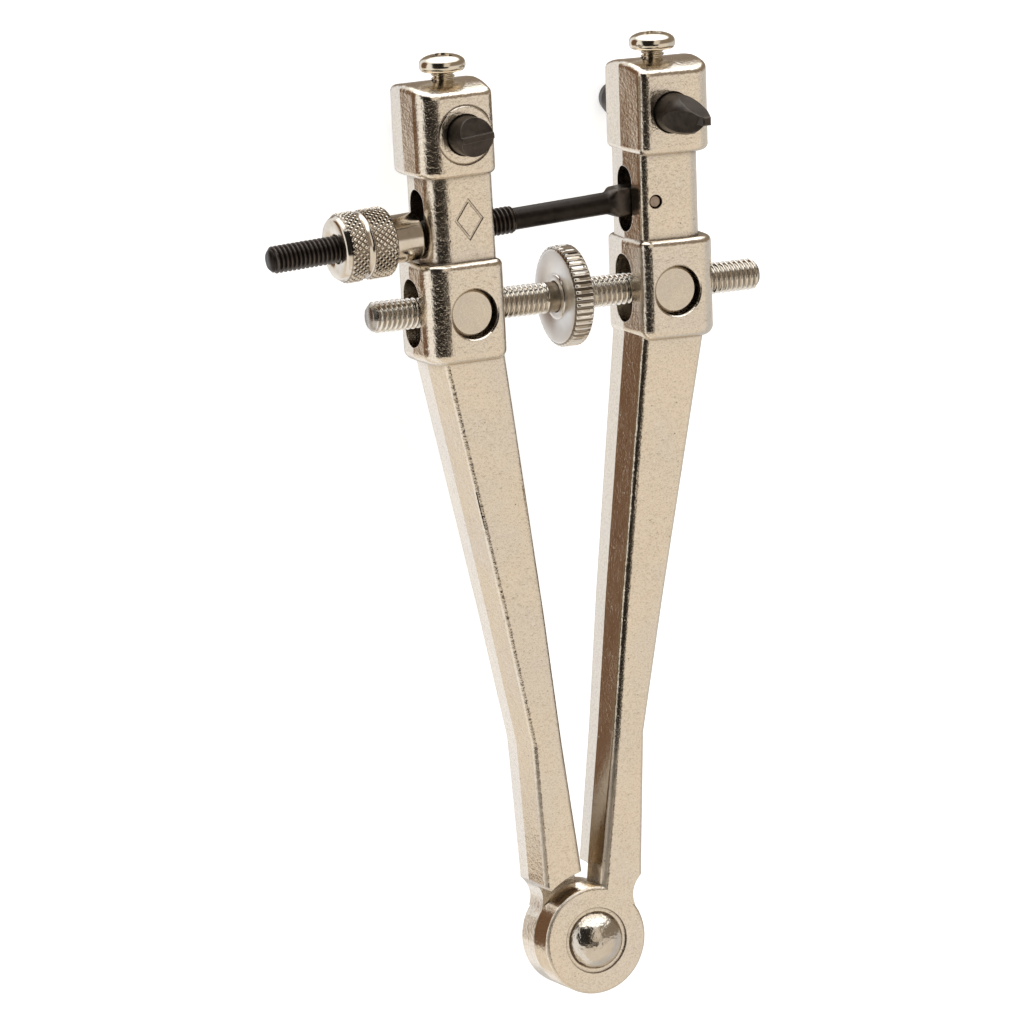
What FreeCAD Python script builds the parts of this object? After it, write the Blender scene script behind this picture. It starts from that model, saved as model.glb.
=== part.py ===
import FreeCAD, Part
import math
import os

# Adjustable two-jaw case wrench: two cast legs hinged at the bottom by a domed
# rivet, spread by a left/right-hand screw with a toothed wheel, locked by a
# pivoted rod and knurled nut, with a bit clamped in each head.
# Millimetres. Built about the hinge axis (x = y = 0) with z = 0 on the leg's
# mid-plane: +X to the right leg, +Y from hinge to jaws, +Z out of the front face.
# Every shape is then moved by SHIFT, so that the origin is bottom centre.

V = FreeCAD.Vector

# ---- driving dimensions -------------------------------------------------
SHIFT = (5.823, -53.622, 12.10)

HALF_ANGLE = 9.74          # hinge-to-trunnion line from the centre plane, degrees
HINGE_TO_TRUNNION = 83.56
LEAN = 0.83                # outward lean of the upper, straight part of a leg

EYE_R = 6.95
EYE_HALF = 3.88            # half of the two-eye stack
EYE_GAP = 0.02             # each eye stops this far from the mid-plane
RELIEF_R = 9.30            # the other half of each leg is cut back to this radius
NOTCH = (8.60, 5.20, 3.20) # outer notch above the eye: x, y, radius
RIVET_R = 2.00
RIVET_HOLE_R = 2.05
RECESS_R, RECESS_DEPTH = 4.25, 0.25
DOME_R, DOME_H = 3.75, 2.65
TAIL_R, TAIL_H = 3.30, 1.20

# stations of the bar: y, inner edge x, outer x, half thickness
BAR = [(4.0, 0.95, 6.68, 3.88), (9.0, 1.50, 6.84, 3.92), (26.0, 3.65, 7.76, 4.12),
       (43.0, 5.50, 11.08, 4.35), (79.0, 9.88, 18.60, 4.75)]
BAR_INNER_R, BAR_OUTER_R = 0.95, 0.70     # rounded front and rear edges of the bar
PARTING = 0.50             # how far both sides stand out at the parting line
DRAFT = 0.22               # half of the same swelling on the blocks, necks and heads

# upper part, in leg axes from the trunnion: w outward, u along the leg, z to front
BLOCK_W, BLOCK_U, BLOCK_Z = (-4.78, 5.97), (-6.30, 6.50), 5.65
NECK_W, NECK_U, NECK_Z = (-4.33, 4.52), (5.0, 19.0), 4.58
HEAD_W, HEAD_U, HEAD_Z = (-4.55, 5.82), (17.35, 29.00), 5.65
CROWN_R = 15.0             # the head's top is crowned front to back
BLOCK_OUTER_R, BLOCK_INNER_R = 3.10, 1.50
HEAD_OUTER_R, HEAD_INNER_R = 2.90, 1.35
NECK_OUTER_R, NECK_INNER_R = 2.60, 1.10

TRUNNION_R, TRUNNION_BORE_R, TRUNNION_HALF = 2.98, 3.18, 4.90
BLOCK_SLOT_W, BLOCK_SLOT_U = 4.60, (-4.30, 4.40)
NECK_SLOT_W, NECK_SLOT_U = 4.00, (7.20, 15.60)

SCREW_R, SCREW_HOLE_R = 2.00, 2.05
SCREW_X = (-26.10, 27.80)
WHEEL_X = (-0.32, 2.33)
WHEEL_R, WHEEL_ROOT_R, WHEEL_TEETH, WHEEL_BORE_R = 6.40, 6.08, 48, 2.03
PLAIN_NECK_R, PLAIN_NECK_X = 1.95, (-1.95, 4.05)

PIN_W, PIN_U, PIN_R, PIN_HOLE_R, PIN_HALF = -2.25, 11.35, 0.85, 0.90, 4.35
ROD_SLOPE = 3.03           # the locking rod falls to the left by this much
ROD_TIP, ROD_THREAD_FROM = 51.50, 18.10   # distances along the rod from its pin
ROD_THREAD_R, ROD_SHANK_R = 1.75, 1.40
ROD_EYE_R, ROD_EYE_HALF = 2.15, 1.70
NUT_FACE, NUT_STEP, NUT_HUB = 42.55, 35.40, 31.38
NUT_R, NUT_HUB_R, NUT_BORE_R = 4.45, 3.05, 1.80
NUT_GROOVE = (38.70, 39.70, 4.00)

BIT_W, BIT_U, BIT_R, BIT_BORE_R = -0.12, 22.65, 2.50, 2.56
RIGHT_BIT_Z, LEFT_BIT_Z = (-12.10, 15.70), (-12.10, 9.60)
CLAMP_R, CLAMP_BORE_R = 1.50, 1.53
CLAMP_U = (25.40, 30.15, 32.30)           # tip, under the head, top of the head
CLAMP_HEAD_R = 2.95

TX = HINGE_TO_TRUNNION * math.sin(math.radians(HALF_ANGLE))
TY = HINGE_TO_TRUNNION * math.cos(math.radians(HALF_ANGLE))


def cyl(r, p, d, h):
    return Part.makeCylinder(r, h, V(*p), V(*d))


def box(x0, x1, y0, y1, z0, z1):
    return Part.makeBox(x1 - x0, y1 - y0, z1 - z0, V(x0, y0, z0))


def prism(points, z0, z1):
    wire = Part.makePolygon([V(x, y, z0) for x, y in points + points[:1]])
    return Part.Face(wire).extrude(V(0, 0, z1 - z0))


def revolved(profile, p, d):
    """Profile of (radius, distance) turned about the axis through p along d."""
    wire = Part.makePolygon([V(r, 0, h) for r, h in profile + profile[:1]])
    solid = Part.Face(wire).revolve(V(0, 0, 0), V(0, 0, 1), 360)
    solid.Placement = FreeCAD.Placement(V(*p), FreeCAD.Rotation(V(0, 0, 1), V(*d)))
    return solid


def edges_where(shape, test):
    return [e for e in shape.Edges if all(test(v.Point) for v in e.Vertexes)]


def rounded_block(w, u, z, outer, inner, top, bottom):
    i, o, k = w[0] + DRAFT, w[1] - DRAFT, 2 * DRAFT
    wire = Part.Wire(
        [Part.makeLine(V(i, u[0], z), V(o, u[0], z)), Part.makeLine(V(o, u[0], z), V(o + k, u[0], 0)),
         Part.makeLine(V(o + k, u[0], 0), V(o, u[0], -z)), Part.makeLine(V(o, u[0], -z), V(i, u[0], -z)),
         Part.makeLine(V(i, u[0], -z), V(i - k, u[0], 0)), Part.makeLine(V(i - k, u[0], 0), V(i, u[0], z))])
    b = Part.Face(wire).extrude(V(0, u[1] - u[0], 0))
    for r, x in ((outer, o), (inner, i)):
        b = b.makeFillet(r, edges_where(b, lambda p: abs(p.x - x) < 1e-6 and abs(abs(p.z) - z) < 1e-6))
    if bottom:
        b = b.makeFillet(bottom, edges_where(b, lambda p: abs(p.y - u[0]) < 1e-6))
    if top:
        b = b.makeFillet(top, edges_where(b, lambda p: abs(p.y - u[1]) < 1e-6))
    return b


def upper(shape):
    """From leg axes (w, u, z) to the right leg's place."""
    s = shape.copy()
    s.rotate(V(0, 0, 0), V(0, 0, 1), -LEAN)
    s.translate(V(TX, TY, 0))
    return s


def place(w, u):
    a = math.radians(LEAN)
    return TX + w * math.cos(a) + u * math.sin(a), TY - w * math.sin(a) + u * math.cos(a)


def other_side(shape):
    """The left leg is the same casting turned half round about the centre line."""
    s = shape.copy()
    s.rotate(V(0, 0, 0), V(0, 1, 0), 180)
    return s


def slot(width, u, w0, w1):
    """A tall slot with round ends that runs along w."""
    r = width / 2
    s = box(w0, w1, u[0] + r, u[1] - r, -r, r)
    for c in (u[0] + r, u[1] - r):
        s = s.fuse(cyl(r, (w0, c, 0), (1, 0, 0), w1 - w0))
    return s.removeSplitter()


def bar_section(y, xi, xo, h):
    k, length = PARTING, math.hypot(PARTING, h)

    def corner(x, s, r):
        """Start, middle and end of the rounding between the front face and a drafted side."""
        c = x - s * r * (length - k) / h
        m = (s * h / length, k / length)
        b = (m[0], m[1] + 1)
        n = math.hypot(*b)
        return (c, h), (c + r * b[0] / n, h - r + r * b[1] / n), (c + r * m[0], h - r + r * m[1])

    i, o = corner(xi, -1, BAR_INNER_R), corner(xo, 1, BAR_OUTER_R)
    P = lambda p, s=1: V(p[0], y, s * p[1])
    line = lambda a, b: Part.makeLine(a, b)
    arc = lambda a, m, b: Part.Arc(a, m, b).toShape()
    mid_i, mid_o = V(xi - k, y, 0), V(xo + k, y, 0)
    edges = [
        arc(P(i[2]), P(i[1]), P(i[0])),
        line(P(i[0]), P(o[0])),
        arc(P(o[0]), P(o[1]), P(o[2])),
        line(P(o[2]), mid_o),
        line(mid_o, P(o[2], -1)),
        arc(P(o[2], -1), P(o[1], -1), P(o[0], -1)),
        line(P(o[0], -1), P(i[0], -1)),
        arc(P(i[0], -1), P(i[1], -1), P(i[2], -1)),
        line(P(i[2], -1), mid_i),
        line(mid_i, P(i[2])),
    ]
    return Part.Wire(edges)


def bar():
    whole = None
    for a, b in zip(BAR, BAR[1:]):
        piece = Part.makeLoft([bar_section(*a), bar_section(*b)], True, True)
        whole = piece if whole is None else whole.fuse(piece)
    return whole.removeSplitter()


def leg_blank(side):
    b = bar()
    b = b.cut(cyl(RELIEF_R, (0, 0, -20), (0, 0, 1), 20 + EYE_GAP))
    eye = cyl(EYE_R, (0, 0, EYE_GAP), (0, 0, 1), EYE_HALF - EYE_GAP)
    eye = eye.makeFillet(0.45, [e for e in eye.Edges if abs(e.BoundBox.ZMin - EYE_HALF) < 1e-6])
    leg = b.fuse(eye)
    leg = leg.cut(cyl(NOTCH[2], (NOTCH[0], NOTCH[1], -20), (0, 0, 1), 40))
    leg = leg.cut(cyl(RIVET_HOLE_R, (0, 0, -20), (0, 0, 1), 40))
    leg = leg.cut(cyl(RECESS_R, (0, 0, EYE_HALF - RECESS_DEPTH), (0, 0, 1), 5))

    block = rounded_block(BLOCK_W, BLOCK_U, BLOCK_Z, BLOCK_OUTER_R, BLOCK_INNER_R, 0.80, 1.30)
    neck = rounded_block(NECK_W, NECK_U, NECK_Z, NECK_OUTER_R, NECK_INNER_R, 0, 0)
    head = rounded_block(HEAD_W, (HEAD_U[0], HEAD_U[1] + 1), HEAD_Z, HEAD_OUTER_R, HEAD_INNER_R, 0, 0.80)
    crown = cyl(CROWN_R, (-20, HEAD_U[1] - CROWN_R, 0), (1, 0, 0), 40)
    head = head.common(crown)
    top = edges_where(head, lambda p: p.y > HEAD_U[1] - 2.4)
    head = head.makeFillet(0.80, top)
    for piece in (block, neck, head):
        leg = leg.fuse(upper(piece))
    leg = leg.removeSplitter()

    # trunnion bore with its mouths, screw slot, rod slot, bit bore, clamp bore
    slack = (side * 0.08, -0.08)          # the nuts sit high and to the left in their bores
    cuts = [cyl(TRUNNION_BORE_R, (*slack, -20), (0, 0, 1), 40)]
    for s in (-1, 1):
        cuts.append(revolved([(0, 0), (TRUNNION_BORE_R + 0.18, 0), (TRUNNION_BORE_R, 0.18), (0, 0.18)],
                             (*slack, s * BLOCK_Z), (0, 0, -s)))
    cuts.append(slot(BLOCK_SLOT_W, BLOCK_SLOT_U, -10, 12))
    cuts.append(slot(NECK_SLOT_W, NECK_SLOT_U, -10, 12))
    cuts.append(cyl(BIT_BORE_R, (BIT_W, BIT_U, -20), (0, 0, 1), 40))
    cuts.append(cyl(CLAMP_BORE_R, (0, BIT_U, 0), (0, 1, 0), 20))
    for c in cuts:
        leg = leg.cut(upper(c))
    return leg


def ring_mouth(r_out, r_in, depth, s):
    return revolved([(0, 0), (r_out, 0), (r_in, depth), (0, depth)],
                    (BIT_W, BIT_U, s * HEAD_Z), (0, 0, -s))


def right_leg():
    leg = leg_blank(1)
    leg = leg.cut(upper(cyl(PIN_HOLE_R, (PIN_W, PIN_U, -20), (0, 0, 1), 40)))
    return leg.cut(upper(ring_mouth(BIT_BORE_R + 0.12, BIT_BORE_R, 0.12, 1)))


def left_leg():
    leg = leg_blank(-1)
    # its visible face is the casting's other face, so cut there before turning
    ring = revolved([(3.52, -0.2), (3.86, -0.2), (3.86, 0), (3.70, 0.15), (3.52, 0)], (BIT_W, BIT_U, -HEAD_Z), (0, 0, 1))
    leg = leg.cut(upper(ring))
    leg = leg.cut(upper(ring_mouth(BIT_BORE_R + 0.12, BIT_BORE_R, 0.12, -1)))
    # a plain lozenge outline, engraved on the neck
    outer = [(0, 2.7), (2.0, 0), (0, -2.7), (-2.0, 0)]
    inner = [(0, 2.15), (1.58, 0), (0, -2.15), (-1.58, 0)]
    mark = prism(outer, -NECK_Z, -NECK_Z + 0.14).cut(prism(inner, -NECK_Z - 1, -NECK_Z + 1))
    mark.translate(V(-0.45, 11.8, 0))
    return other_side(leg.cut(upper(mark)))


def rivet():
    """One turned piece: shank, domed head in the front recess, lower dome at the rear."""
    floor = EYE_HALF - RECESS_DEPTH

    def cap(r, h, s):
        """Rim and middle of a spherical cap, the edge of the small flat on top of it, and its centre."""
        ball = (r * r + h * h) / (2 * h)
        a = math.asin(r / ball) / 2 if h < r else (math.pi - math.asin(r / ball)) / 2
        z = floor + h - ball
        flat = z + math.sqrt(ball * ball - 0.15 ** 2)
        return (V(r, 0, s * floor), V(ball * math.sin(a), 0, s * (z + ball * math.cos(a))),
                V(0.15, 0, s * flat), V(0, 0, s * flat))

    top, tail = cap(DOME_R, DOME_H, 1), cap(TAIL_R, TAIL_H, -1)
    line = Part.makeLine
    wire = Part.Wire([
        line(top[3], top[2]), Part.Arc(top[2], top[1], top[0]).toShape(), line(top[0], V(RIVET_R, 0, floor)),
        line(V(RIVET_R, 0, floor), V(RIVET_R, 0, -floor)), line(V(RIVET_R, 0, -floor), tail[0]),
        Part.Arc(tail[0], tail[1], tail[2]).toShape(), line(tail[2], tail[3]), line(tail[3], top[3])])
    return Part.Face(wire).revolve(V(0, 0, 0), V(0, 0, 1), 360)


def adjusting_screw():
    x0, x1 = SCREW_X
    a, b = PLAIN_NECK_X
    c = 0.5
    profile = [(0, x0), (SCREW_R - c, x0), (SCREW_R, x0 + c), (SCREW_R, a), (PLAIN_NECK_R, a + 0.05),
               (PLAIN_NECK_R, b - 0.05), (SCREW_R, b), (SCREW_R, x1 - c), (SCREW_R - c, x1), (0, x1)]
    return revolved(profile, (0, TY, 0), (1, 0, 0))


def adjusting_wheel():
    n = WHEEL_TEETH
    points = []
    for i in range(n):
        for t, r in ((-0.30, WHEEL_ROOT_R), (-0.14, WHEEL_R), (0.14, WHEEL_R), (0.30, WHEEL_ROOT_R)):
            a = 2 * math.pi * (i + t) / n
            points.append((r * math.cos(a), r * math.sin(a)))
    half = (WHEEL_X[1] - WHEEL_X[0]) / 2
    w = prism(points, -half, half)
    c = 0.22
    blank = revolved([(0, -half), (WHEEL_R - c, -half), (WHEEL_R + 0.02, -half + c), (WHEEL_R + 0.02, half - c),
                      (WHEEL_R - c, half), (0, half)], (0, 0, 0), (0, 0, 1))
    w = w.common(blank).cut(cyl(WHEEL_BORE_R, (0, 0, -20), (0, 0, 1), 40))
    w.Placement = FreeCAD.Placement(V(sum(WHEEL_X) / 2, TY, 0), FreeCAD.Rotation(V(0, 0, 1), V(1, 0, 0)))
    return w


def trunnion_nut(side):
    h, r = TRUNNION_HALF, TRUNNION_R
    body = revolved([(0, -h), (r - 0.3, -h), (r, -h + 0.3), (r, h - 0.3), (r - 0.3, h), (0, h)],
                    (side * TX, TY, 0), (0, 0, 1))
    return body.cut(cyl(SCREW_HOLE_R, (side * TX - 10, TY, 0), (1, 0, 0), 20))


PX, PY = place(PIN_W, PIN_U)


def along_rod(shape):
    """From rod axes (distance from the pin, across, z) to its place."""
    s = shape.copy()
    s.rotate(V(0, 0, 0), V(0, 0, 1), 180 + ROD_SLOPE)
    s.translate(V(PX, PY, 0))
    return s


def locking_rod():
    t, f, r = ROD_TIP, ROD_THREAD_FROM, ROD_THREAD_R
    rod = revolved([(0, 3.0), (1.55, 3.0), (ROD_SHANK_R, 6.8), (ROD_SHANK_R, f - 0.3), (r, f), (r, t - 0.45),
                    (r - 0.45, t), (0, t)], (0, 0, 0), (1, 0, 0))
    root = Part.makeLoft([
        Part.Wire(Part.makePolygon([V(0, -2.10, -1.7), V(0, 2.10, -1.7), V(0, 2.10, 1.7), V(0, -2.10, 1.7), V(0, -2.10, -1.7)])),
        Part.Wire(Part.makePolygon([V(6.0, -1.10, -0.85), V(6.0, 1.10, -0.85), V(6.0, 1.10, 0.85), V(6.0, -1.10, 0.85), V(6.0, -1.10, -0.85)])),
    ], True, True)
    eye = cyl(ROD_EYE_R, (0, 0, -ROD_EYE_HALF), (0, 0, 1), 2 * ROD_EYE_HALF)
    rod = rod.fuse(root).fuse(eye).removeSplitter()
    return along_rod(rod.cut(cyl(PIN_HOLE_R, (0, 0, -20), (0, 0, 1), 40)))


def knurled_nut():
    a, b, e = NUT_HUB, NUT_STEP, NUT_FACE
    g0, g1, gr = NUT_GROOVE
    h, r, k = NUT_HUB_R, NUT_R, NUT_BORE_R
    return along_rod(revolved([(k, a), (h - 0.25, a), (h, a + 0.25), (h, b), (r - 0.45, b), (r, b + 0.45),
                               (r, g0), (gr, g0 + 0.35), (gr, g1 - 0.35), (r, g1), (r, e - 1.0), (r - 0.55, e - 0.25),
                               (r - 0.8, e), (k + 0.35, e), (k, e - 0.35)], (0, 0, 0), (1, 0, 0)))


def rod_pin():
    h, r = PIN_HALF, PIN_R
    return upper(revolved([(0, -h), (r - 0.2, -h), (r, -h + 0.2), (r, h - 0.2), (r - 0.2, h), (0, h)],
                          (PIN_W, PIN_U, 0), (0, 0, 1)))


def bit_rear(r, z0):
    return [(0, z0), (1.30, z0), (1.95, z0 + 0.35), (r, z0 + 2.30)]


def right_bit():
    z0, z1 = RIGHT_BIT_Z
    r = BIT_R
    body = revolved(bit_rear(r, z0) + [(r, 8.2), (2.36, 9.8), (1.92, 12.2), (1.15, 14.4), (0.9, 14.7), (0, 14.7)],
                    (0, 0, 0), (0, 0, 1))
    for turn in range(3):
        flat = box(2.18, 6, -5, 5, -1, 9)
        flat.rotate(V(2.18, 0, 0), V(0, 1, 0), -17)
        flat.translate(V(0, 0, 8.9))
        flat.rotate(V(0, 0, 0), V(0, 0, 1), 78 + 120 * turn)
        body = body.cut(flat)
    nib = box(-0.55, 0.55, -0.55, 0.55, 13.5, z1)
    nib = nib.makeChamfer(0.15, [e for e in nib.Edges if abs(e.BoundBox.ZMin - z1) < 1e-6])
    body = body.fuse(nib).removeSplitter()
    body.translate(V(BIT_W, BIT_U, 0))
    return upper(body)


def left_bit():
    z0, z1 = LEFT_BIT_Z
    r = BIT_R
    body = revolved(bit_rear(r, z0) + [(r, 8.2), (2.14, z1), (0, z1)], (0, 0, 0), (0, 0, 1))
    for s in (1, -1):
        wedge = [(z1 - 1.45, s * 3.2), (z1 + 1, s * 3.2), (z1 + 1, s * 0.38), (z1 - 0.40, s * 0.38), (z1 - 1.45, s * 2.55)]
        wire = Part.makePolygon([V(-5, y, z) for z, y in wedge + wedge[:1]])
        body = body.cut(Part.Face(wire).extrude(V(10, 0, 0)))
    body.rotate(V(0, 0, 0), V(0, 0, 1), 6)
    x, y = place(BIT_W, BIT_U)
    body.translate(V(-x, y, 0))
    return body


def clamp_screw():
    tip, under, top = CLAMP_U
    r, R = CLAMP_R, CLAMP_HEAD_R
    s = revolved([(0, tip), (r - 0.3, tip), (r, tip + 0.3), (r, under), (0, under)], (0, 0, 0), (0, 1, 0))
    head = cyl(R, (0, under, 0), (0, 1, 0), top - under)
    rim = [e for e in head.Edges if abs(e.BoundBox.YMin - top) < 1e-6]
    head = head.makeFillet(1.25, rim)
    foot = [e for e in head.Edges if abs(e.BoundBox.YMax - under) < 1e-6]
    head = head.makeFillet(0.35, foot)
    cross = box(-1.55, 1.55, top - 0.9, top + 1, -0.33, 0.33).fuse(box(-0.33, 0.33, top - 0.9, top + 1, -1.55, 1.55))
    cone = revolved([(0, -1.5), (0.35, -1.3), (0.85, 0), (0, 0)], (0, top, 0), (0, 1, 0))
    head = head.cut(cross).cut(cone)
    return s.fuse(head).removeSplitter()


right_screw = upper(clamp_screw())
nodes = {
    "right_leg": right_leg(),
    "left_leg": left_leg(),
    "hinge_rivet": rivet(),
    "adjusting_screw": adjusting_screw(),
    "adjusting_wheel": adjusting_wheel(),
    "right_trunnion_nut": trunnion_nut(1),
    "left_trunnion_nut": trunnion_nut(-1),
    "locking_rod": locking_rod(),
    "rod_pin": rod_pin(),
    "knurled_nut": knurled_nut(),
    "right_bit": right_bit(),
    "left_bit": left_bit(),
    "right_clamp_screw": right_screw,
    "left_clamp_screw": other_side(right_screw),
}

os.makedirs("parts", exist_ok=True)
whole = None
for name, shape in nodes.items():
    s = shape.copy()
    s.translate(V(*SHIFT))
    if s.ShapeType == "Compound" and len(s.Solids) == 1:
        s = s.Solids[0]
    assert s.isValid(), name
    s.exportStep("parts/" + name + ".step")
    b = s.BoundBox
    whole = b if whole is None else whole.united(b)
    print("%-20s solids %d volume %.1f  x %.2f %.2f  y %.2f %.2f  z %.2f %.2f" % (
        name, len(s.Solids), s.Volume, b.XMin, b.XMax, b.YMin, b.YMax, b.ZMin, b.ZMax))
print("all x %.3f %.3f  y %.3f %.3f  z %.3f %.3f" % (
    whole.XMin, whole.XMax, whole.YMin, whole.YMax, whole.ZMin, whole.ZMax))
print("pin %.4f %.4f  trunnion %.4f %.4f  bit %.4f %.4f" % (PX, PY, TX, TY, *place(BIT_W, BIT_U)))
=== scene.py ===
import math

import bpy
import numpy as np
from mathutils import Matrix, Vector


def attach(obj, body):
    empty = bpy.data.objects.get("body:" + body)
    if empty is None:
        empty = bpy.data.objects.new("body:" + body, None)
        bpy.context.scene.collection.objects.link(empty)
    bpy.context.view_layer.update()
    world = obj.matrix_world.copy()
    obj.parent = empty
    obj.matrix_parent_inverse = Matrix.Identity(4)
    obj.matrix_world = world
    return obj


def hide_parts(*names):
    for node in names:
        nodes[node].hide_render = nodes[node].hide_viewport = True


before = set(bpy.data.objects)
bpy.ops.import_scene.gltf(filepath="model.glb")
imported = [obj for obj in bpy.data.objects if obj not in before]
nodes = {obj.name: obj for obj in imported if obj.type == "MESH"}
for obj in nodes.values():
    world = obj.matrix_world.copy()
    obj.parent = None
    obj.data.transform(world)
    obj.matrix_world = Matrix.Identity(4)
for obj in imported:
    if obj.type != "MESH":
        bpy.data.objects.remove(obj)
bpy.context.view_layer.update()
MM = 0.001

# ---------------------------------------------------------------- places
# Millimetres about the hinge axis: +X right leg, +Y to the jaws, +Z front.
SHIFT = Vector((5.823, -53.622, 12.10))
LEAN = math.radians(0.83)
TX = 83.56 * math.sin(math.radians(9.74))
TY = 83.56 * math.cos(math.radians(9.74))


def row(x, y, z=0.0):
    return (Vector((x, y, z)) + SHIFT) * MM


def place(w, u, side=1):
    x = TX + w * math.cos(LEAN) + u * math.sin(LEAN)
    y = TY - w * math.sin(LEAN) + u * math.cos(LEAN)
    return side * x, y


# ---------------------------------------------------------------- mesh tools
def new_object(name, verts, faces, body, angle=35.0):
    mesh = bpy.data.meshes.new(name)
    mesh.from_pydata([tuple(v) for v in verts], [], faces)
    mesh.validate()
    for p in mesh.polygons:
        p.use_smooth = True
    mesh.set_sharp_from_angle(angle=math.radians(angle))
    ob = bpy.data.objects.new(name, mesh)
    bpy.context.scene.collection.objects.link(ob)
    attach(ob, body)
    return ob


def basis(axis, up=(0, 0, 1)):
    a = Vector(axis).normalized()
    e1 = Vector(up).cross(a).normalized()
    return a, e1, a.cross(e1).normalized()


def turned(stations, radius, origin, axis, n, loop=False, up=(0, 0, 1)):
    """Rings (distance, r) along an axis; radius(t, r, angles) gives each ring's radii.
    loop joins the last ring to the first, otherwise both ends are capped."""
    a, e1, e2 = basis(axis, up)
    a, e1, e2, o = (np.array(v) for v in (a, e1, e2, origin))
    th = np.arange(n) * 2 * math.pi / n
    ring_dir = np.outer(np.cos(th), e1) + np.outer(np.sin(th), e2)
    verts, faces = [], []
    for t, r in stations:
        rr = radius(t, r, th) * MM
        verts.append(o + a * (t * MM) + ring_dir * rr[:, None])
    m = len(stations)
    verts = np.concatenate(verts)
    for k in range(m if loop else m - 1):
        i0, i1 = k * n, ((k + 1) % m) * n
        for j in range(n):
            j1 = (j + 1) % n
            faces.append((i0 + j, i0 + j1, i1 + j1, i1 + j))
    verts = [tuple(v) for v in verts]
    if not loop:
        for i, t, flip in ((0, stations[0][0], True), ((m - 1) * n, stations[-1][0], False)):
            verts.append(tuple(o + a * (t * MM)))
            c = len(verts) - 1
            for j in range(n):
                j1 = (j + 1) % n
                faces.append((i + j1, i + j, c) if flip else (i + j, i + j1, c))
    return verts, faces


def tri(x):
    return 1.0 - np.abs(2.0 * (x - np.floor(x)) - 1.0)


def thread_depth(t, th, pitch, hand, depth):
    """How far below the crest a point of a 60-degree thread is."""
    ph = tri(t / pitch - hand * th / (2 * math.pi))
    return depth * (1.0 - np.clip((ph - 0.14) / 0.70, 0.0, 1.0))


def steps(a, b, d):
    n = max(1, int(round((b - a) / d)))
    return [a + (b - a) * i / n for i in range(n + 1)]


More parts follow.
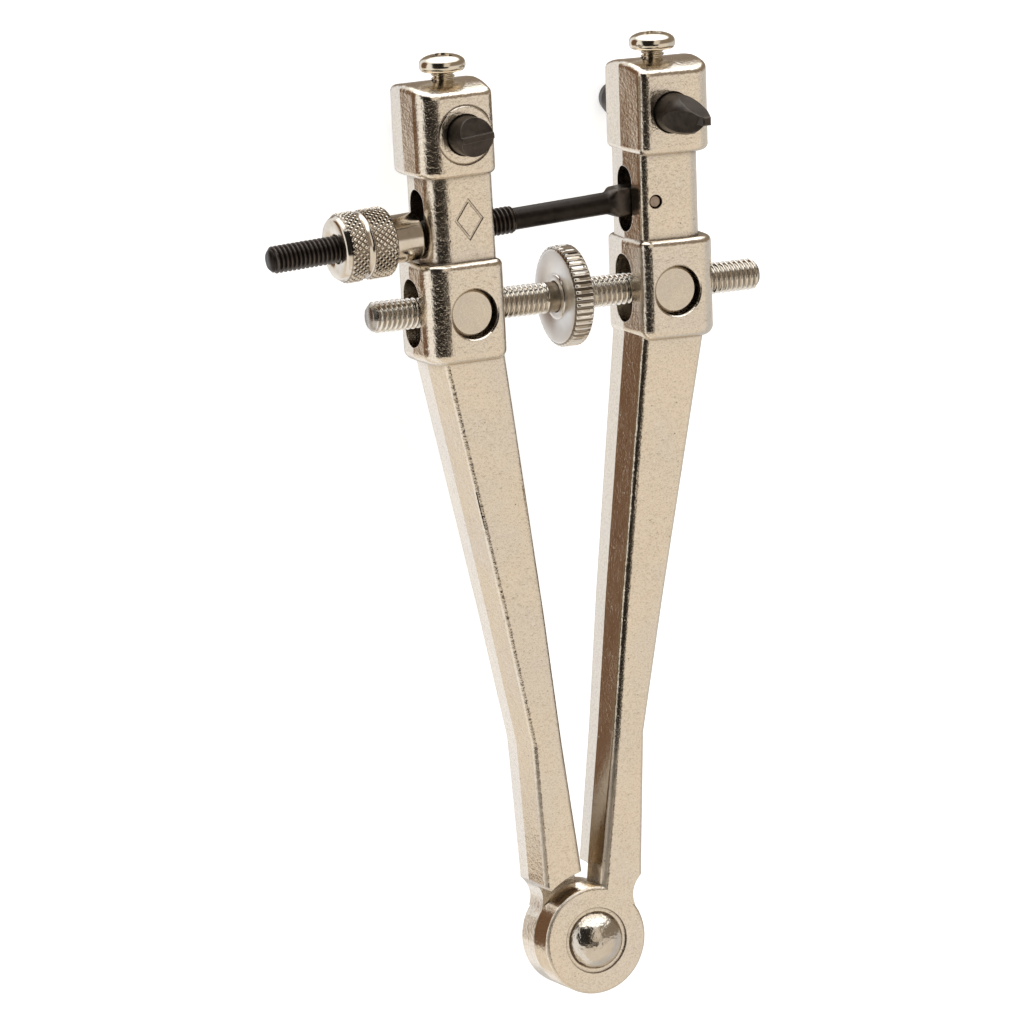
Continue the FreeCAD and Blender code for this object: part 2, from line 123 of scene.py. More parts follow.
# ---------------------------------------------------------------- materials
class Nodes:
    def __init__(self, name):
        self.mat = bpy.data.materials.new(name)
        self.mat.use_nodes = True
        self.t = self.mat.node_tree
        self.t.nodes.clear()
        self.out = self.t.nodes.new("ShaderNodeOutputMaterial")
        self.bsdf = self.t.nodes.new("ShaderNodeBsdfPrincipled")
        self.t.links.new(self.bsdf.outputs[0], self.out.inputs[0])
        self._mm = None

    def link(self, a, b):
        self.t.links.new(a, b)

    def put(self, socket, value):
        if isinstance(value, bpy.types.NodeSocket):
            self.link(value, socket)
        elif hasattr(socket.default_value, "__len__"):
            v = list(value) if hasattr(value, "__len__") else [value] * len(socket.default_value)
            socket.default_value = (v + [1.0])[: len(socket.default_value)] if len(v) < len(socket.default_value) else v
        else:
            socket.default_value = value

    def mm(self):
        """Position on the part in millimetres."""
        if self._mm is None:
            tc = self.t.nodes.new("ShaderNodeTexCoord")
            self._mm = self.vec("SCALE", tc.outputs["Object"], scale=1000.0)
        return self._mm

    def vec(self, op, a, b=None, scale=None):
        n = self.t.nodes.new("ShaderNodeVectorMath")
        n.operation = op
        self.put(n.inputs[0], a)
        if b is not None:
            self.put(n.inputs[1], b)
        if scale is not None:
            self.put(n.inputs["Scale"], scale)
        return n.outputs["Value"] if op in ("DOT_PRODUCT", "LENGTH", "DISTANCE") else n.outputs["Vector"]

    def math(self, op, a, b=0.0, c=0.0, clamp=False):
        n = self.t.nodes.new("ShaderNodeMath")
        n.operation = op
        n.use_clamp = clamp
        for s, v in zip(n.inputs, (a, b, c)):
            self.put(s, v)
        return n.outputs[0]

    def noise(self, scale, detail=2.0, rough=0.5, at=None, distort=0.0):
        n = self.t.nodes.new("ShaderNodeTexNoise")
        self.put(n.inputs["Vector"], at if at is not None else self.mm())
        n.inputs["Scale"].default_value = scale
        n.inputs["Detail"].default_value = detail
        n.inputs["Roughness"].default_value = rough
        n.inputs["Distortion"].default_value = distort
        return n.outputs["Fac"] if "Fac" in n.outputs else n.outputs[0]

    def voronoi(self, scale, at=None, feature="F1"):
        n = self.t.nodes.new("ShaderNodeTexVoronoi")
        n.feature = feature
        self.put(n.inputs["Vector"], at if at is not None else self.mm())
        n.inputs["Scale"].default_value = scale
        return n.outputs["Distance"]

    def ramp(self, x, lo, hi, a=0.0, b=1.0, smooth=True):
        n = self.t.nodes.new("ShaderNodeMapRange")
        n.interpolation_type = "SMOOTHSTEP" if smooth else "LINEAR"
        n.clamp = True
        for s, v in zip((n.inputs["Value"], n.inputs["From Min"], n.inputs["From Max"], n.inputs["To Min"], n.inputs["To Max"]),
                        (x, lo, hi, a, b)):
            self.put(s, v)
        return n.outputs["Result"]

    def mix(self, fac, a, b):
        n = self.t.nodes.new("ShaderNodeMix")
        n.data_type = "RGBA"
        n.clamp_factor = True
        self.put(n.inputs["Factor"], fac)
        self.put(n.inputs["A"] if n.inputs["A"].type == "RGBA" else n.inputs[6], a)
        self.put(n.inputs["B"] if n.inputs["B"].type == "RGBA" else n.inputs[7], b)
        return n.outputs[2]

    def bump(self, height, distance, strength=1.0, normal=None):
        n = self.t.nodes.new("ShaderNodeBump")
        self.put(n.inputs["Strength"], strength)
        n.inputs["Distance"].default_value = distance * MM
        self.put(n.inputs["Height"], height)
        if normal is not None:
            self.put(n.inputs["Normal"], normal)
        return n.outputs["Normal"]

    def bevel(self, radius):
        n = self.t.nodes.new("ShaderNodeBevel")
        n.samples = 6
        n.inputs["Radius"].default_value = radius * MM
        return n.outputs["Normal"]

    def edge(self, radius, lo=0.93, hi=0.997):
        """About 1 on sharp outer and inner edges, 0 on flat ground."""
        g = self.t.nodes.new("ShaderNodeNewGeometry")
        d = self.vec("DOT_PRODUCT", self.bevel(radius), g.outputs["Normal"])
        return self.ramp(d, lo, hi, 1.0, 0.0)

    def hollow_shade(self, reach, lo, hi):
        """About 1 deep inside the piece's own holes and slots, 0 on open ground: the mask for painted shade."""
        n = self.t.nodes.new("ShaderNodeAmbientOcclusion")
        n.samples = 6
        n.only_local = True
        n.inputs["Distance"].default_value = reach * MM
        return self.ramp(n.outputs["AO"], lo, hi, 1.0, 0.0)

    def facing(self, axis, lo, hi):
        """0 to 1 as the surface turns to face along axis, either way."""
        g = self.t.nodes.new("ShaderNodeNewGeometry")
        d = self.vec("DOT_PRODUCT", g.outputs["True Normal"], list(axis))
        return self.ramp(self.math("ABSOLUTE", d), lo, hi)

    def axis_radius(self, origin, axis):
        """Distance in mm from a line through origin (m) along axis."""
        o = [c * 1000.0 for c in origin]
        rel = self.vec("SUBTRACT", self.mm(), o)
        c = self.vec("CROSS_PRODUCT", rel, list(Vector(axis).normalized()))
        return self.vec("LENGTH", c)

    def finish(self, color, rough, normal=None, metallic=1.0, **plain):
        self.put(self.bsdf.inputs["Base Color"], color)
        self.put(self.bsdf.inputs["Roughness"], rough)
        self.put(self.bsdf.inputs["Metallic"], metallic)
        if normal is not None:
            self.put(self.bsdf.inputs["Normal"], normal)
        for k, v in plain.items():
            self.bsdf.inputs[k.replace("_", " ").title()].default_value = v
        return self.mat


def cast_nickel(name, side):
    """Nickel plate over a sandy casting: fine grain, soft waves, pits, warm stains.

    The moulded sides are not quite flat: the outer side bends smoothly where the bar
    meets its foot, and the foot and the eye have more draft than the bar.
    """
    m = Nodes(name)
    rel = m.vec("SUBTRACT", m.mm(), [c * 1000.0 for c in row(0.0, 0.0)])
    u = m.vec("DOT_PRODUCT", rel, (0.0, 1.0, 0.0))
    foot = m.ramp(u, 9.0, 25.0, 1.0, 0.0)
    worn = m.ramp(u, 14.0, 34.0, 1.0, 0.0)
    grain = m.noise(4.4, 2.0, 0.55)
    sand = m.noise(1.9, 3.0, 0.55)
    wave = m.noise(0.22, 2.0, 0.5)
    stain = m.noise(0.10, 3.0, 0.55, distort=0.4)
    pit = m.ramp(m.voronoi(1.25), 0.03, 0.15, 1.0, 0.0)
    some = m.ramp(m.noise(0.33, 2.0), 0.53, 0.66)
    pits = m.math("MULTIPLY", pit, some)
    warm = (0.765, 0.680, 0.560)
    cool = (0.735, 0.672, 0.585)
    color = m.mix(m.ramp(stain, 0.36, 0.66), warm, cool)
    color = m.mix(m.ramp(grain, 0.44, 0.72, 0.0, 0.42), color, (0.50, 0.42, 0.33))
    color = m.mix(m.ramp(sand, 0.54, 0.76, 0.0, 0.36), color, (0.54, 0.46, 0.36))
    color = m.mix(m.ramp(sand, 0.42, 0.27, 0.0, 0.45), color, (0.84, 0.79, 0.71))
    color = m.mix(m.math("MULTIPLY", pits, 0.75), color, (0.17, 0.13, 0.10))
    # bright worn edges, then painted shade along the foot of every step and inside every slot
    edge = m.edge(0.22)
    color = m.mix(m.math("MULTIPLY", edge, m.ramp(sand, 0.35, 0.65, 0.10, 0.40)), color, (0.88, 0.84, 0.78))
    # painted shade: the piece's own holes and slots are darkened towards near-black brown by an occlusion mask; they
    # are also rougher
    hollow_shade = m.hollow_shade(5.0, 0.52, 0.82)
    color = m.mix(m.math("MULTIPLY", hollow_shade, 0.86), color, (0.115, 0.078, 0.052))
    rough = m.math("ADD", m.ramp(wave, 0.3, 0.7, 0.115, 0.165), m.ramp(grain, 0.3, 0.7, -0.02, 0.05))
    rough = m.math("ADD", rough, m.math("MULTIPLY", pits, 0.25))
    rough = m.math("ADD", rough, m.math("MULTIPLY", hollow_shade, 0.25))
    open_face = m.facing((0, 0, 1), 0.25, 0.75)
    strength = m.math("ADD", 0.70, m.math("MULTIPLY", open_face, 0.30))
    rounding = m.math("MULTIPLY", m.facing((0, 0, 1), 0.28, 0.42), m.math("SUBTRACT", 1.0, m.facing((0, 0, 1), 0.92, 0.98)))
    rough = m.math("ADD", rough, m.math("MULTIPLY", m.math("MULTIPLY", rounding, worn), 0.28))
    moulded = m.math("SUBTRACT", 1.0, open_face)
    if side < 0:
        t = m.math("SUBTRACT", m.math("MINIMUM", m.math("MAXIMUM", u, 9.0), 26.0), 9.0)
        shape = m.math("MULTIPLY", m.math("MULTIPLY", t, t), 0.146 / 34.0)
    else:
        z = m.math("MAXIMUM", m.vec("DOT_PRODUCT", rel, (0.0, 0.0, 1.0)), 0.0)
        shape = m.math("MULTIPLY", m.math("MULTIPLY", z, foot), -0.24)
    normal = m.bump(shape, 1.0, moulded, m.bevel(0.12))
    normal = m.bump(wave, 0.10, 0.8, normal)
    normal = m.bump(sand, 0.050, strength, normal)
    normal = m.bump(grain, 0.020, strength, normal)
    normal = m.bump(m.math("SUBTRACT", 1.0, pits), 0.030, 0.9, normal)
    return m.finish(color, rough, normal)


def polished_nickel(name="polished_nickel", tint=(0.80, 0.765, 0.70), rough=0.075, dents=0.012):
    """Bright plate with faint wiping marks and specks."""
    m = Nodes(name)
    smear = m.noise(0.55, 3.0, 0.6, distort=0.6)
    stretched = m.vec("MULTIPLY", m.mm(), (1.0, 9.0, 3.0))
    hair = m.noise(2.2, 2.0, 0.6, at=stretched)
    speck = m.math("MULTIPLY", m.ramp(m.voronoi(1.9), 0.03, 0.10, 1.0, 0.0), m.ramp(m.noise(0.8), 0.55, 0.66))
    color = m.mix(m.ramp(smear, 0.35, 0.7), tint, tuple(c * k for c, k in zip(tint, (0.95, 0.92, 0.87))))
    color = m.mix(m.math("MULTIPLY", speck, 0.6), color, (0.25, 0.20, 0.15))
    r = m.math("ADD", m.ramp(smear, 0.3, 0.75, rough, rough + 0.07), m.ramp(hair, 0.35, 0.75, 0.0, 0.04))
    normal = m.bump(hair, 0.0012, 0.6)
    normal = m.bump(m.noise(0.9, 2.0), dents, 0.8, normal)
    normal = m.bump(m.noise(2.6, 2.0), dents * 0.32, 0.9, normal)
    return m.finish(color, r, normal)


def threaded_nickel(name, origin, axis, crest, depth, tint=(0.74, 0.70, 0.64), root_tone=(0.16, 0.12, 0.09), rough=0.16, neck=None):
    """Cut and plated thread: bright crests, darker brown roots; the plain neck gets a painted brown shade and a rougher
    finish.
    """
    m = Nodes(name)
    r = m.axis_radius(origin, axis)
    low = m.ramp(r, crest - depth, crest - 0.25 * depth, 1.0, 0.0)
    patch = m.noise(0.9, 3.0, 0.6)
    fine = m.noise(9.0, 2.0)
    color = m.mix(m.ramp(patch, 0.35, 0.7), tint, tuple(c * 0.86 for c in tint))
    # darker brown toward the thread roots, by depth below the crest
    color = m.mix(m.math("MULTIPLY", low, m.ramp(patch, 0.25, 0.65, 0.75, 0.45)), color, root_tone)
    rr = m.math("ADD", m.ramp(low, 0.0, 1.0, rough, rough + 0.14), m.ramp(fine, 0.3, 0.7, -0.03, 0.05))
    if neck is not None:
        x = m.vec("DOT_PRODUCT", m.vec("SUBTRACT", m.mm(), [c * 1000.0 for c in origin]), list(axis))
        # painted shade on the plain neck beside the wheel, which is also made rougher
        dull_shaded_neck = m.math("MULTIPLY", m.ramp(x, neck[0] - 0.05, neck[0] + 0.10), m.ramp(x, neck[1] - 0.10, neck[1] + 0.05, 1.0, 0.0))
        color = m.mix(m.math("MULTIPLY", dull_shaded_neck, m.ramp(patch, 0.3, 0.7, 0.95, 0.55)), color, (0.43, 0.355, 0.255))
        rr = m.math("ADD", rr, m.math("MULTIPLY", dull_shaded_neck, 0.20))
    normal = m.bump(fine, 0.004, 0.7)
    return m.finish(color, rr, normal)


def turned_face(name, origin, radius):
    """A turned and plated nut: fine rings on its end faces, and a painted shade ring round their outer edge."""
    m = Nodes(name)
    r = m.axis_radius(origin, (0, 0, 1))
    wob = m.noise(0.35, 2.0)
    rings = m.noise(1.0, 3.0, 0.7, at=m.vec("SCALE", (1.0, 0.0, 0.0), scale=m.math("MULTIPLY", r, 6.0)))
    grain = m.noise(4.5, 3.0, 0.6)
    color = m.mix(m.ramp(wob, 0.35, 0.65), (0.76, 0.685, 0.575), (0.70, 0.64, 0.555))
    color = m.mix(m.ramp(rings, 0.35, 0.7, 0.0, 0.32), color, (0.56, 0.49, 0.40))
    # painted shade: a dark ring round the outer edge of the face, where the nut sits in its bore
    rim_shade = m.ramp(r, radius - 0.28, radius - 0.03, 0.0, 0.7)
    color = m.mix(rim_shade, color, (0.30, 0.24, 0.17))
    rough = m.math("ADD", m.ramp(grain, 0.3, 0.7, 0.20, 0.30), m.math("MULTIPLY", rings, 0.08))
    normal = m.bump(rings, 0.010, 0.55)
    normal = m.bump(grain, 0.006, 0.6, normal)
    return m.finish(color, rough, normal)


def black_oxide(name="black_oxide", origin=None, axis=None, crest=None, depth=None, tone=1.0):
    """Oil-black steel: mottled brown-black, worn a little brighter along edges and crests."""
    m = Nodes(name)
    mottle = m.noise(0.7, 4.0, 0.6)
    fine = m.noise(7.0, 3.0, 0.6)
    color = m.mix(m.ramp(mottle, 0.3, 0.7), tuple(c * tone for c in (0.050, 0.042, 0.037)), tuple(c * tone for c in (0.082, 0.070, 0.060)))
    edge = m.edge(0.16, 0.90, 0.995)
    color = m.mix(m.math("MULTIPLY", edge, 0.5), color, (0.21, 0.185, 0.16))
    rough = m.math("ADD", m.ramp(mottle, 0.3, 0.7, 0.30, 0.42), m.ramp(fine, 0.3, 0.7, -0.04, 0.06))
    if origin is not None and crest is not None:
        r = m.axis_radius(origin, axis)
        low = m.ramp(r, crest - depth, crest - 0.2 * depth, 1.0, 0.0)
        color = m.mix(m.math("MULTIPLY", low, 0.75), color, (0.010, 0.008, 0.007))
        normal = m.bump(fine, 0.004, 0.7)
    else:
        lathe = m.noise(1.0, 3.0, 0.65, at=m.vec("MULTIPLY", m.mm(), (0.15, 0.15, 9.0)))
        rough = m.math("ADD", rough, m.ramp(lathe, 0.35, 0.7, -0.04, 0.08))
        normal = m.bump(lathe, 0.004, 0.7, m.bevel(0.10))
        normal = m.bump(fine, 0.005, 0.7, normal)
    return m.finish(color, rough, normal)


def tarnished_pin():
    m = Nodes("tarnished_pin")
    a = m.noise(2.0, 3.0)
    color = m.mix(m.ramp(a, 0.35, 0.65), (0.30, 0.225, 0.175), (0.44, 0.37, 0.31))
    return m.finish(color, m.ramp(a, 0.3, 0.7, 0.28, 0.45), m.bump(m.noise(8.0), 0.006, 0.7))


def assign(ob, mat):
    ob.data.materials.clear()
    ob.data.materials.append(mat)


# ---------------------------------------------------------------- CAD pieces that stay
cast = {"right_leg": cast_nickel("cast_nickel", 1), "left_leg": cast_nickel("cast_nickel_left", -1)}
polish = polished_nickel("rivet_nickel", (0.66, 0.61, 0.54), 0.15, 0.15)
black = black_oxide()
for n in ("right_leg", "left_leg"):
    assign(nodes[n], cast[n])
assign(nodes["hinge_rivet"], polish)
assign(nodes["rod_pin"], tarnished_pin())
for n in ("right_bit", "left_bit"):
    assign(nodes[n], black)
assign(nodes["right_trunnion_nut"], turned_face("right_nut_face", row(TX, TY), 2.98))
assign(nodes["left_trunnion_nut"], turned_face("left_nut_face", row(-TX, TY), 2.98))

# ---------------------------------------------------------------- adjusting screw
SCREW_X = (-26.10, 27.80)
NECK_X = (-1.95, 4.05)
PITCH = 0.70


def screw_radius(t, r, th):
    full = 2.0
    if t < NECK_X[0] or t > NECK_X[1]:
        hand = 1 if t > 0 else -1
        d = thread_depth(t, th, PITCH, hand, 0.40)
        edge = min(abs(t - NECK_X[0]), abs(t - NECK_X[1]))
        d = d * min(1.0, edge / 0.5) if edge < 0.5 else d
        return np.minimum(full - d, r)
    return np.full(len(th), r)


def build_screw():
    st = []
    x0, x1 = SCREW_X
    for t in steps(x0, NECK_X[0], PITCH / 12):
        c = t - x0
        st.append((t, min(2.0, 1.38 + c * 1.0)))
    for t in (-1.90, -0.5, 2.5, 4.00):
        st.append((t, 1.93))
    for t in steps(NECK_X[1], x1, PITCH / 12):
        c = x1 - t
        st.append((t, min(2.0, 1.38 + c * 1.0)))
    v, f = turned(st, screw_radius, row(0, TY), (1, 0, 0), 64)
    ob = new_object("adjusting_screw_threads", v, f, "screw", 60)
    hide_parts("adjusting_screw")
    assign(ob, threaded_nickel("screw_thread", row(0, TY), (1, 0, 0), 2.0, 0.40, (0.82, 0.775, 0.70), (0.10, 0.075, 0.055), 0.10, NECK_X))
    return ob


# ---------------------------------------------------------------- toothed wheel
WHEEL_X = (-0.32, 2.33)


def build_wheel():
    n_teeth, per = 48, 12
    root, R = 6.04, 6.40

    def rad(t, r, th):
        a = tri(th * n_teeth / (2 * math.pi))
        tooth = np.clip((a - 0.22) / 0.42, 0, 1)
        tooth = tooth * tooth * (3 - 2 * tooth)
        return np.minimum(r, root + (R - root) * tooth)

    a, b = WHEEL_X
    st = [(a - 0.08, 2.02), (a - 0.14, 2.12), (a - 0.14, 2.72), (a - 0.08, 2.84), (a + 0.03, 2.90), (a + 0.03, 3.10), (a, 3.16), (a, 5.3), (a, 5.82), (a + 0.02, 5.92), (a + 0.10, 6.12), (a + 0.22, 6.30),
          (a + 0.36, 6.40), (a + 0.9, 6.40), (b - 0.9, 6.40), (b - 0.36, 6.40), (b - 0.22, 6.30), (b - 0.10, 6.12),
          (b - 0.02, 5.92), (b, 5.82), (b, 5.3), (b, 3.16), (b - 0.03, 3.10), (b - 0.03, 2.90), (b + 0.08, 2.84), (b + 0.14, 2.72),
          (b + 0.14, 2.12), (b + 0.08, 2.02)]
    v, f = turned(st, rad, row(0, TY), (1, 0, 0), n_teeth * per, loop=True)
    ob = new_object("adjusting_wheel_teeth", v, f, "wheel", 40)
    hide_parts("adjusting_wheel")
    m = Nodes("wheel_plate")
    r = m.axis_radius(row(0, TY), (1, 0, 0))
    rings = m.noise(1.0, 3.0, 0.7, at=m.vec("SCALE", (1.0, 0.0, 0.0), scale=m.math("MULTIPLY", r, 7.0)))
    smear = m.noise(0.5, 3.0, 0.6)
    # painted shade: the valleys between the teeth are darkened to near-black
    low = m.ramp(r, 6.02, 6.30, 1.0, 0.0)
    at_rim = m.ramp(r, 5.90, 6.02)
    groove_shade = m.math("MULTIPLY", low, at_rim)
    color = m.mix(m.ramp(smear, 0.35, 0.7), (0.74, 0.70, 0.645), (0.69, 0.65, 0.59))
    color = m.mix(m.math("MULTIPLY", groove_shade, 0.8), color, (0.12, 0.09, 0.06))
    face = m.math("MULTIPLY", m.ramp(r, 5.75, 5.95, 1.0, 0.0), m.facing((1, 0, 0), 0.6, 0.9))
    color = m.mix(m.math("MULTIPLY", face, 0.8), color, (0.80, 0.79, 0.77))
    rough = m.math("ADD", m.ramp(smear, 0.3, 0.75, 0.07, 0.13), m.math("MULTIPLY", rings, 0.05))
    rough = m.math("ADD", rough, m.math("MULTIPLY", face, 0.24))
    assign(ob, m.finish(color, rough, m.bump(rings, 0.0025, 0.5)))
    return ob


# ---------------------------------------------------------------- locking rod and its nut
PX, PY = place(-2.25, 11.35)
SLOPE = math.radians(3.03)
ROD_AXIS = (-math.cos(SLOPE), -math.sin(SLOPE), 0.0)
ROD_PITCH = 0.60


def build_rod():
    """One skin: a flat rounded eye that becomes a round shank, then the thread."""
    tip, start = 51.50, 18.10
    a, e1, e2 = basis(ROD_AXIS)          # e1 across in the XY plane, e2 up (z)
    a, e1, e2, o = (np.array(v) for v in (a, e1, e2, row(PX, PY)))
    if e2[2] < 0:
        e1, e2 = -e1, -e2
    n = 64
    th = np.arange(n) * 2 * math.pi / n
    rings, ts = [], []

    def section(t, hw, hz, p):
        c, s = np.cos(th), np.sin(th)
        k = (np.abs(c) ** p + np.abs(s) ** p) ** (-1.0 / p)
        x, z = hw * k * c, hz * k * s
        rings.append(o + a * t * MM + np.outer(x, e1) * MM + np.outer(z, e2) * MM)

    for t in (-2.0, -1.96, -1.85, -1.6, -1.25, -0.8, -0.4, 0.0):        # round end of the eye
        hw = math.sqrt(max(2.0 ** 2 - t * t, 0.12 ** 2))
        section(t, hw, 1.55 if hw < 0.9 else 1.70, 7.0)
    for t in (0.6, 1.3, 2.0, 2.7, 3.2):
        section(t, 2.0 - 0.04 * t, 1.70, 7.0)
    for t in steps(3.4, 5.4, 0.12):
        k = min(1.0, max(0.0, (t - 3.5) / 1.6))
        s = k * k * (3 - 2 * k)
        section(t, 1.86 * (1 - s) + 1.41 * s, 1.70 * (1 - s) + 1.41 * s, 2.0 + 5.0 * (1 - s) ** 2)
    for t in steps(5.6, 7.0, 0.4):
        section(t, 1.41, 1.41, 2.0)
    for t in steps(7.3, start - 0.3, 1.0):
        section(t, 1.40, 1.40, 2.0)
    for t in steps(start - 0.25, tip, ROD_PITCH / 12):
        full = min(1.75, 1.41 + (t - start + 0.25) * 1.2, 1.22 + (tip - t) * 1.0)
        d = thread_depth(t, th, ROD_PITCH, 1, 0.34) * min(1.0, (t - start + 0.25) / 0.5)
        r = np.minimum(full, 1.75 - d)
        rings.append(o + a * t * MM + (np.outer(np.cos(th), e1) + np.outer(np.sin(th), e2)) * r[:, None] * MM)
    m = len(rings)
    verts = [tuple(v) for v in np.concatenate(rings)]
    faces = []
    for k in range(m - 1):
        for j in range(n):
            j1 = (j + 1) % n
            faces.append((k * n + j, k * n + j1, (k + 1) * n + j1, (k + 1) * n + j))
    for k, flip in ((0, True), (m - 1, False)):
        verts.append(tuple(rings[k].mean(0)))
        c = len(verts) - 1
        for j in range(n):
            j1 = (j + 1) % n
            faces.append((k * n + j1, k * n + j, c) if flip else (k * n + j, k * n + j1, c))
    # keep the winding outward whichever way the basis turned
    if np.dot(np.cross(e1, e2), a) < 0:
        faces = [tuple(reversed(f)) for f in faces]
    ob = new_object("locking_rod_threads", verts, faces, "lock_rod", 50)
    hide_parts("locking_rod")
    assign(ob, black_oxide("rod_black", row(PX, PY), ROD_AXIS, 1.75, 0.34, 1.45))
    return ob


def build_nut():
    hub, step, face = 31.38, 35.40, 42.55
    g0, g1 = 38.70, 39.70
    R, H, n_knurl = 4.45, 3.05, 34

    def rad(t, r, th):
        on = 1.0 if (step + 0.30 < t < g0 - 0.02 or g1 + 0.02 < t < face - 0.55) and r > 4.0 else 0.0
        if not on:
            return np.full(len(th), r)
        u = th * n_knurl / (2 * math.pi)
        h = np.minimum(tri(u + t / 0.86), tri(u - t / 0.86))
        h = np.clip(h * 1.9, 0, 1)
        return np.minimum(r, R - 0.26 + 0.26 * h)

    st = [(hub + 0.10, 1.80), (hub, 1.95), (hub, 2.75), (hub + 0.06, 2.92), (hub + 0.18, 3.02), (hub + 0.30, H), (step - 0.15, H),
          (step - 0.03, 3.10), (step, 3.25), (step, 3.85), (step + 0.05, 4.02), (step + 0.18, 4.22), (step + 0.34, 4.36)]
    st += [(t, R if t > step + 0.6 else 4.42) for t in steps(step + 0.42, g0 - 0.06, 0.085)]
    st += [(g0, 4.30), (g0 + 0.10, 4.12), (g0 + 0.25, 4.02), (g1 - 0.25, 4.02), (g1 - 0.10, 4.12), (g1, 4.30)]
    st += [(t, R) for t in steps(g1 + 0.06, face - 1.0, 0.085)]
    st += [(face - 0.90, 4.40), (face - 0.78, 4.30), (face - 0.70, 4.20), (face - 0.28, 3.98), (face - 0.05, 3.78), (face, 3.62),
           (face, 2.9), (face, 2.15), (face - 0.12, 1.95), (face - 0.34, 1.80)]
    v, f = turned(st, rad, row(PX, PY), ROD_AXIS, n_knurl * 10, loop=True)
    ob = new_object("knurled_nut_grip", v, f, "lock_nut", 38)
    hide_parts("knurled_nut")
    m = Nodes("knurled_plate")
    r = m.axis_radius(row(PX, PY), ROD_AXIS)
    low = m.math("MULTIPLY", m.ramp(r, 4.18, 4.38, 1.0, 0.0), m.ramp(r, 4.13, 4.17))
    smear = m.noise(0.6, 3.0, 0.6)
    grain = m.noise(6.0, 2.0)
    color = m.mix(m.ramp(smear, 0.35, 0.7), (0.72, 0.665, 0.585), (0.65, 0.59, 0.505))
    color = m.mix(m.math("MULTIPLY", low, 0.70), color, (0.15, 0.11, 0.075))
    rough = m.math("ADD", m.ramp(smear, 0.3, 0.75, 0.10, 0.17), m.ramp(grain, 0.3, 0.7, -0.02, 0.04))
    assign(ob, m.finish(color, rough, m.bump(grain, 0.004, 0.6)))
    return ob


# ---------------------------------------------------------------- clamp screws
def build_clamp(side, body, name, node, spin):
    tip, under, top = 25.40, 30.15, 32.30
    bx, by = place(0, 0, side)
    axis = (side * math.sin(LEAN), math.cos(LEAN), 0.0)

    def rad(t, r, th):
        if t < under - 0.05:
            d = thread_depth(t, th, 0.5, 1, 0.29)
            return np.minimum(r, 1.5 - d)
        return np.full(len(th), r)

    st = [(t, min(1.5, 1.15 + (t - tip))) for t in steps(tip, under - 0.12, 0.5 / 12)]
    st += [(under - 0.02, 1.30), (under, 1.55), (under, 2.40), (under + 0.04, 2.58), (under + 0.14, 2.74), (under + 0.32, 2.86),
           (under + 0.55, 2.93), (under + 0.80, 2.95), (under + 1.05, 2.92), (under + 1.30, 2.83), (under + 1.52, 2.66),
           (under + 1.72, 2.38), (under + 1.88, 2.04), (under + 2.00, 1.64), (under + 2.08, 1.22), (under + 2.13, 0.80),
           (top - 0.005, 0.40)]
    v, f = turned(st, rad, row(bx, by), axis, 72)

    # cross recess: two tapered blades and a centre cone, cut out of the head (worked in millimetres)
    a, e1, e2 = basis(axis)
    o = row(bx, by)

    def scratch(label, verts, faces):
        mesh = bpy.data.meshes.new(label)
        mesh.from_pydata([tuple(Vector(p) * 1000.0) for p in verts], [], faces)
        ob = bpy.data.objects.new(label, mesh)
        bpy.context.scene.collection.objects.link(ob)
        return ob

    blank = scratch("blank", v, f)
    cutters = []
    for k in range(2):
        c, s = math.cos(spin + k * math.pi / 2), math.sin(spin + k * math.pi / 2)
        p, q = e1 * c + e2 * s, -e1 * s + e2 * c
        verts = []
        for t, hw, ht in ((top - 1.30, 1.05, 0.22), (top + 0.5, 2.15, 0.42)):
            for sx, sy in ((-1, -1), (1, -1), (1, 1), (-1, 1)):
                verts.append(o + a * (t * MM) + p * (sx * hw * MM) + q * (sy * ht * MM))
        cutters.append(scratch("cut%d" % k, verts, [(0, 3, 2, 1), (4, 5, 6, 7), (0, 1, 5, 4), (1, 2, 6, 5), (2, 3, 7, 6), (3, 0, 4, 7)]))
    cv, cf = turned([(top - 1.55, 0.10), (top - 1.30, 0.45), (top + 0.4, 1.12)], lambda t, r, th: np.full(len(th), r), o, axis, 24)
    cutters.append(scratch("cut2", cv, cf))
    for c in cutters:
        mod = blank.modifiers.new("recess", "BOOLEAN")
        mod.operation, mod.solver, mod.object = "DIFFERENCE", "EXACT", c
    dg = bpy.context.evaluated_depsgraph_get()
    done = bpy.data.meshes.new_from_object(blank.evaluated_get(dg))
    verts = [tuple(p.co * MM) for p in done.vertices]
    faces = [tuple(p.vertices) for p in done.polygons]
    for c in cutters + [blank]:
        bpy.data.objects.remove(c)
    body_ob = new_object(name, verts, faces, body, 35)
    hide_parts(node)
    assign(body_ob, polished_nickel(name + "_plate", (0.735, 0.68, 0.585), 0.09))
    return body_ob


build_screw()
build_wheel()
build_rod()
build_nut()
build_clamp(1, "right_clamp", "right_clamp_screw_head", "right_clamp_screw", 0.62)
build_clamp(-1, "left_clamp", "left_clamp_screw_head", "left_clamp_screw", 0.30)

# ---------------------------------------------------------------- camera
YAW, PITCH_UP, ROLL = math.radians(24.80), math.radians(10.23), math.radians(2.378)


def to_row(x, depth, up):
    return Vector((x, up, -depth))


B = to_row(-math.sin(YAW) * math.cos(PITCH_UP), -math.cos(YAW) * math.cos(PITCH_UP), math.sin(PITCH_UP))
R = to_row(math.cos(YAW), -math.sin(YAW), 0.0)
U = to_row(0, 0, 1)
U = (U - B * U.dot(B)).normalized()
R2 = R * math.cos(ROLL) - U * math.sin(ROLL)
U2 = R * math.sin(ROLL) + U * math.cos(ROLL)
target = row(-7.53, 55.58, 0.0)

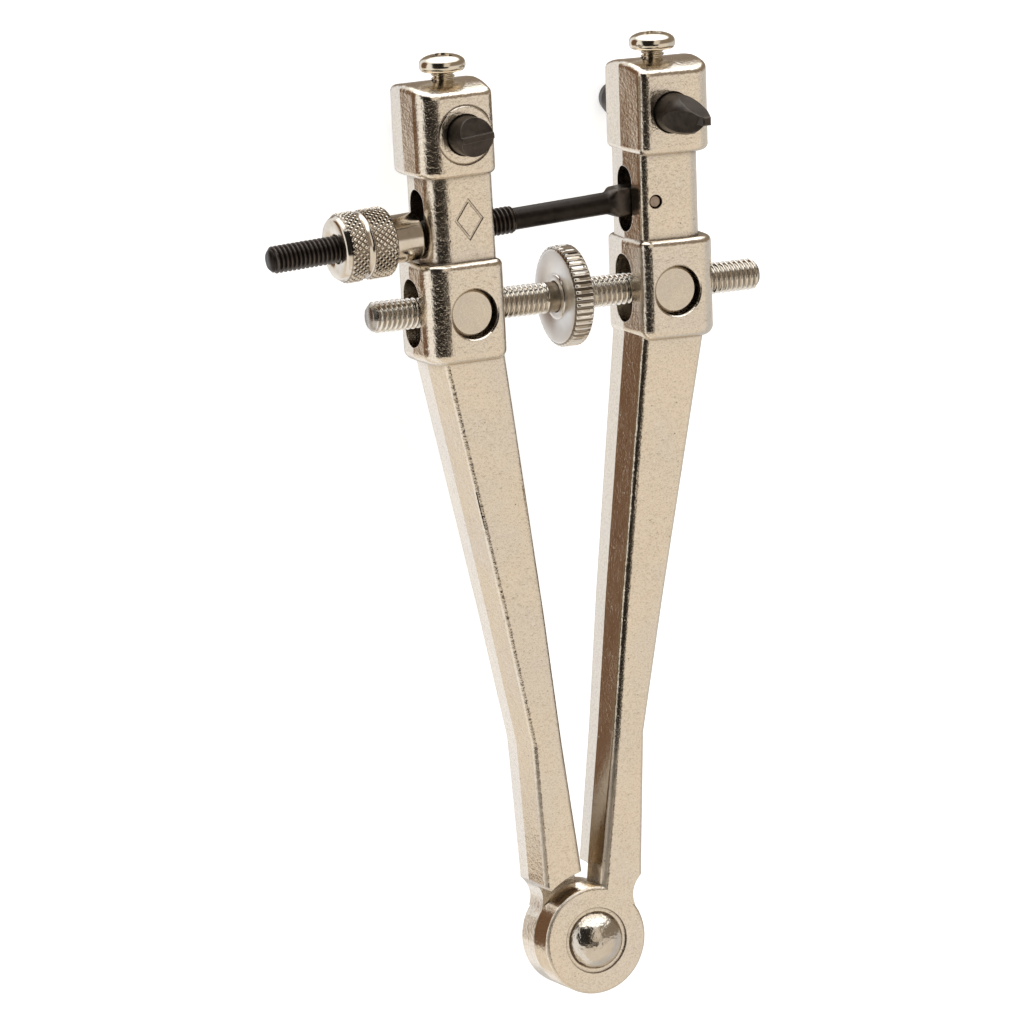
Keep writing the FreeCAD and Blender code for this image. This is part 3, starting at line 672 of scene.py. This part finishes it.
cam_data = bpy.data.cameras.new("camera")
cam_data.sensor_width = 36.0
cam_data.lens = 7.93 * 1500.0 / 1024.0 * 36.0
cam_data.clip_start, cam_data.clip_end = 0.05, 20.0
cam = bpy.data.objects.new("camera", cam_data)
bpy.context.scene.collection.objects.link(cam)
from mathutils import Matrix
rot = Matrix((R2, U2, B)).transposed().to_4x4()
cam.matrix_world = Matrix.Translation(target + B * 1.5) @ rot
bpy.context.scene.camera = cam

# ---------------------------------------------------------------- floor, light
mesh = bpy.data.meshes.new("floor")
S = 3.0
mesh.from_pydata([(-S, -S, 0), (S, -S, 0), (S, S, 0), (-S, S, 0)], [], [(0, 1, 2, 3)])
floor = bpy.data.objects.new("floor", mesh)
bpy.context.scene.collection.objects.link(floor)
fm = Nodes("floor_paper")
fm.finish(fm.mix(fm.ramp(fm.noise(0.02, 2.0), 0.3, 0.7), (0.86, 0.87, 0.88), (0.88, 0.89, 0.90)), 0.9, metallic=0.0)
fm.bsdf.inputs["Specular IOR Level"].default_value = 0.1
fm.bsdf.inputs["Emission Color"].default_value = (1.0, 1.0, 1.0, 1.0)
fm.bsdf.inputs["Emission Strength"].default_value = 0.68
assign(floor, fm.mat)
floor.visible_glossy = False          # the plate mirrors the studio, not the paper

world = bpy.data.worlds.new("studio")
bpy.context.scene.world = world
world.use_nodes = True
wt = world.node_tree
wt.nodes.clear()
w_out = wt.nodes.new("ShaderNodeOutputWorld")


class World(Nodes):
    def __init__(self, tree):
        self.t = tree
        self._mm = None


W = World(wt)
tc = wt.nodes.new("ShaderNodeTexCoord")
d = tc.outputs["Generated"]
dr = W.vec("DOT_PRODUCT", d, list(R2))
du = W.vec("DOT_PRODUCT", d, list(U2))
db = W.vec("DOT_PRODUCT", d, list(B))
axes = wt.nodes.new("ShaderNodeSeparateXYZ")
W.link(d, axes.inputs[0])
dx, dy, dz = axes.outputs
# bearing about the upright axis: 0 straight out of the fronts, plus to the right
az = W.math("MULTIPLY", W.math("ARCTAN2", dx, dz), 180.0 / math.pi)
color = W.mix(W.ramp(dy, -0.8, 0.4), (0.92, 0.83, 0.72), (0.97, 0.91, 0.84))
color = W.mix(W.ramp(az, 48.0, 85.0), color, (0.70, 0.69, 0.68))                        # grey wall to the right
# brown shade over the upper right and behind the jaws
shade = W.math("MULTIPLY", W.ramp(az, -5.0, 18.0), W.ramp(dy, -0.10, 0.10))
color = W.mix(shade, color, (0.30, 0.245, 0.19))
# pale wall to the left, grey light low behind it
left = W.math("MULTIPLY", W.ramp(az, -56.0, -76.0), W.ramp(az, -136.0, -112.0))
color = W.mix(left, color, (1.12, 1.10, 1.07))
low = W.ramp(az, -150.0, -160.0)
color = W.mix(low, color, (0.98, 0.99, 1.02))
color = W.mix(W.math("MULTIPLY", low, W.ramp(dy, -0.18, -0.30)), color, (1.12, 1.12, 1.14))
# a band of brown bench low on the left
bx = W.math("POWER", W.math("DIVIDE", W.math("ABSOLUTE", W.math("ADD", az, 129.0)), 21.5), 4.0)
by = W.math("POWER", W.math("DIVIDE", W.math("ABSOLUTE", W.math("SUBTRACT", dy, 0.16)), 0.44), 4.0)
color = W.mix(W.ramp(W.math("ADD", bx, by), 1.25, 0.55), color, (0.185, 0.105, 0.062))
# a white panel above the jaws
color = W.mix(W.ramp(du, 0.66, 0.80), color, (2.1, 2.12, 2.15))
# the dark room behind the viewer
ex = W.math("POWER", W.math("DIVIDE", W.math("ABSOLUTE", W.math("ADD", dr, 0.10)), 0.67), 4.0)
ey = W.math("POWER", W.math("DIVIDE", W.math("ABSOLUTE", W.math("SUBTRACT", du, 0.09)), 0.61), 4.0)
inside = W.ramp(W.math("ADD", ex, ey), 1.20, 0.75)
front = W.ramp(db, 0.0, 0.1)
# a lit ceiling patch straight out of the fronts, so they are not black from above
patch = W.math("MULTIPLY", W.ramp(dr, 0.08, 0.22), W.ramp(du, -0.22, -0.10))
inside = W.math("MULTIPLY", inside, W.math("SUBTRACT", 1.0, patch))
lit = W.math("MULTIPLY", W.math("MULTIPLY", patch, front), W.math("MULTIPLY", W.ramp(dr, 0.64, 0.52), W.ramp(du, 0.66, 0.52)))
color = W.mix(lit, color, (0.86, 0.77, 0.66))
color = W.mix(W.math("MULTIPLY", inside, front), color, (0.020, 0.017, 0.014))
seen = wt.nodes.new("ShaderNodeLightPath").outputs["Is Camera Ray"]
color = W.mix(seen, color, (1.0, 1.0, 1.0))
bg = wt.nodes.new("ShaderNodeBackground")
W.link(color, bg.inputs["Color"])
bg.inputs["Strength"].default_value = 1.0
W.link(bg.outputs[0], w_out.inputs["Surface"])


def area(name, direction, distance, size, power, color=(1, 1, 1)):
    data = bpy.data.lights.new(name, "AREA")
    data.shape = "RECTANGLE"
    data.size, data.size_y = size
    data.energy = power
    data.color = color
    ob = bpy.data.objects.new(name, data)
    bpy.context.scene.collection.objects.link(ob)
    dv = Vector(direction).normalized()
    ob.location = dv * distance
    ob.rotation_euler = dv.to_track_quat("Z", "Y").to_euler()
    return ob


for lamp in (area("key", (0.86, 0.10, 0.50), 0.9, (0.7, 0.7), 1.6, (1.0, 0.95, 0.88)),
             area("top", (-0.10, 0.90, 0.42), 0.8, (0.6, 0.25), 1.0)):
    lamp.visible_glossy = False          # soft fill for the paper; the plate mirrors the studio walls

bpy.context.scene.view_settings.view_transform = "Standard"
